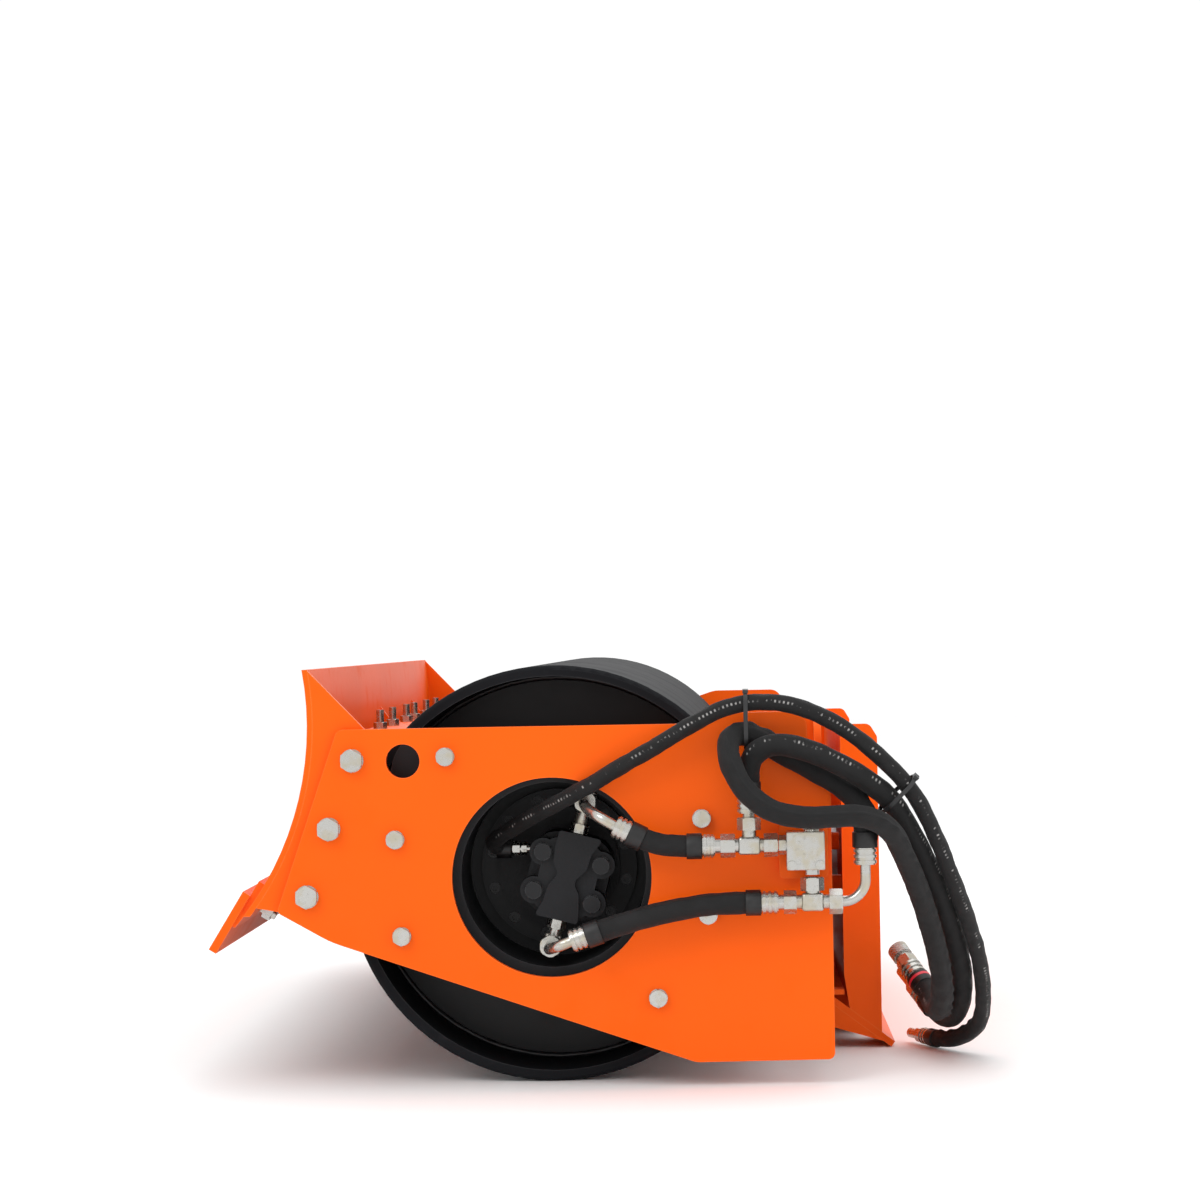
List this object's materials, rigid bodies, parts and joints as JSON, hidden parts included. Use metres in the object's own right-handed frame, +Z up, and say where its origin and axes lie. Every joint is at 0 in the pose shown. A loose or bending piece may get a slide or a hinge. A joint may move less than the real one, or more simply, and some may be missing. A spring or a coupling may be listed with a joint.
{
  "type": "vibratory roller attachment",
  "caption": "Skid-steer vibratory smooth-drum roller attachment with levelling blade, rubber-isolated drum, hydraulic motor and quick-attach hitch.",
  "frame": {"origin": "centre of the floor footprint of the rigid parts, level with the lowest point of the drum; the hoses and their couplers are left out of that box", "axes": "+Z up, +Y along the drum axis from the motor side to the far side, +X from the blade to the quick-attach hitch"},
  "size_m": [1.1485, 2.1439, 0.61],
  "materials": {
    "orange_paint": "semi-gloss baked paint, thinner and lighter on cut edges",
    "black_paint": "satin paint",
    "zinc_plate": "bright zinc plating with a faint yellow tint",
    "isolator_rubber": "matte",
    "hose_sleeve": "woven nylon sleeve over rubber hose, matte",
    "nylon_tie": "satin",
    "red_tie": "satin",
    "bare_steel": "machined, lightly oiled",
    "bronze": "machined"
  },
  "bodies": {
    "frame": {"side_plate_motor": "orange_paint", "side_plate_far": "orange_paint", "rear_beam": "orange_paint", "hitch_tower": "orange_paint", "pivot_housing": "orange_paint", "moldboard": "orange_paint", "blade_end_plates": "orange_paint", "backing_bar": "orange_paint", "cutting_edge": "orange_paint", "scraper_mount": "orange_paint", "scraper_blade": "orange_paint", "valve_bracket": "orange_paint", "carrier_plates": "black_paint", "carrier_cups": "black_paint", "motor_disc": "black_paint", "far_cover": "black_paint", "motor_body": "black_paint", "motor_cover": "black_paint", "blade_bolts": "zinc_plate", "blade_nuts": "zinc_plate", "plow_bolts": "zinc_plate", "isolator_bolts": "zinc_plate", "disc_screws": "zinc_plate", "motor_bolts": "zinc_plate", "scraper_bolts": "zinc_plate", "valve_screws": "zinc_plate", "motor_fittings": "zinc_plate", "motor_hose_ends": "zinc_plate", "line_tees": "zinc_plate", "line_nuts": "zinc_plate", "valve_block": "zinc_plate", "relief_cartridge": "zinc_plate", "bundle_hose_ends": "zinc_plate", "hose_couplers": "zinc_plate", "isolators": "isolator_rubber", "motor_supply_hose": "hose_sleeve", "motor_return_hose": "hose_sleeve", "drain_hose": "hose_sleeve", "pressure_hose": "hose_sleeve", "return_hose": "hose_sleeve", "hose_ties": "nylon_tie", "coupler_tie": "red_tie", "eccentric_bearings": "bare_steel", "thrust_washer": "bronze"},
    "drum": {"drum_shell": "black_paint", "drum_bulkheads": "black_paint", "drum_hubs": "black_paint", "drum_bearings": "bare_steel"},
    "exciter": {"eccentric_shaft": "bare_steel", "eccentric_weights": "bare_steel", "shaft_coupling": "bare_steel", "motor_shaft": "bare_steel"},
    "hitch": {"hitch_plate": "orange_paint", "top_lip": "orange_paint", "bottom_lip": "orange_paint", "hitch_brackets": "orange_paint", "pivot_pin": "bare_steel", "pivot_keeper": "orange_paint"},
    "sleeve": {"coupler_sleeve": "zinc_plate"}
  },
  "joints": [
    {"name": "drum_roll", "type": "hinge", "parent": "frame", "child": "drum", "pos_m": [-0.0065, 0.03025, 0.305], "axis": [0, 1, 0], "continuous": true},
    {"name": "exciter_spin", "type": "hinge", "parent": "frame", "child": "exciter", "pos_m": [-0.0065, 0.03025, 0.305], "axis": [0, 1, 0], "continuous": true},
    {"name": "hitch_oscillation", "type": "hinge", "parent": "frame", "child": "hitch", "pos_m": [0.4365, 0.03025, 0.245], "axis": [1, 0, 0], "range_deg": [-8, 8]},
    {"name": "coupler_sleeve_slide", "type": "slide", "parent": "frame", "child": "sleeve", "axis": [0.4089, -0.701, -0.5842], "range_m": [0, 0.006], "stiffness_N_per_m": 600}
  ]
}
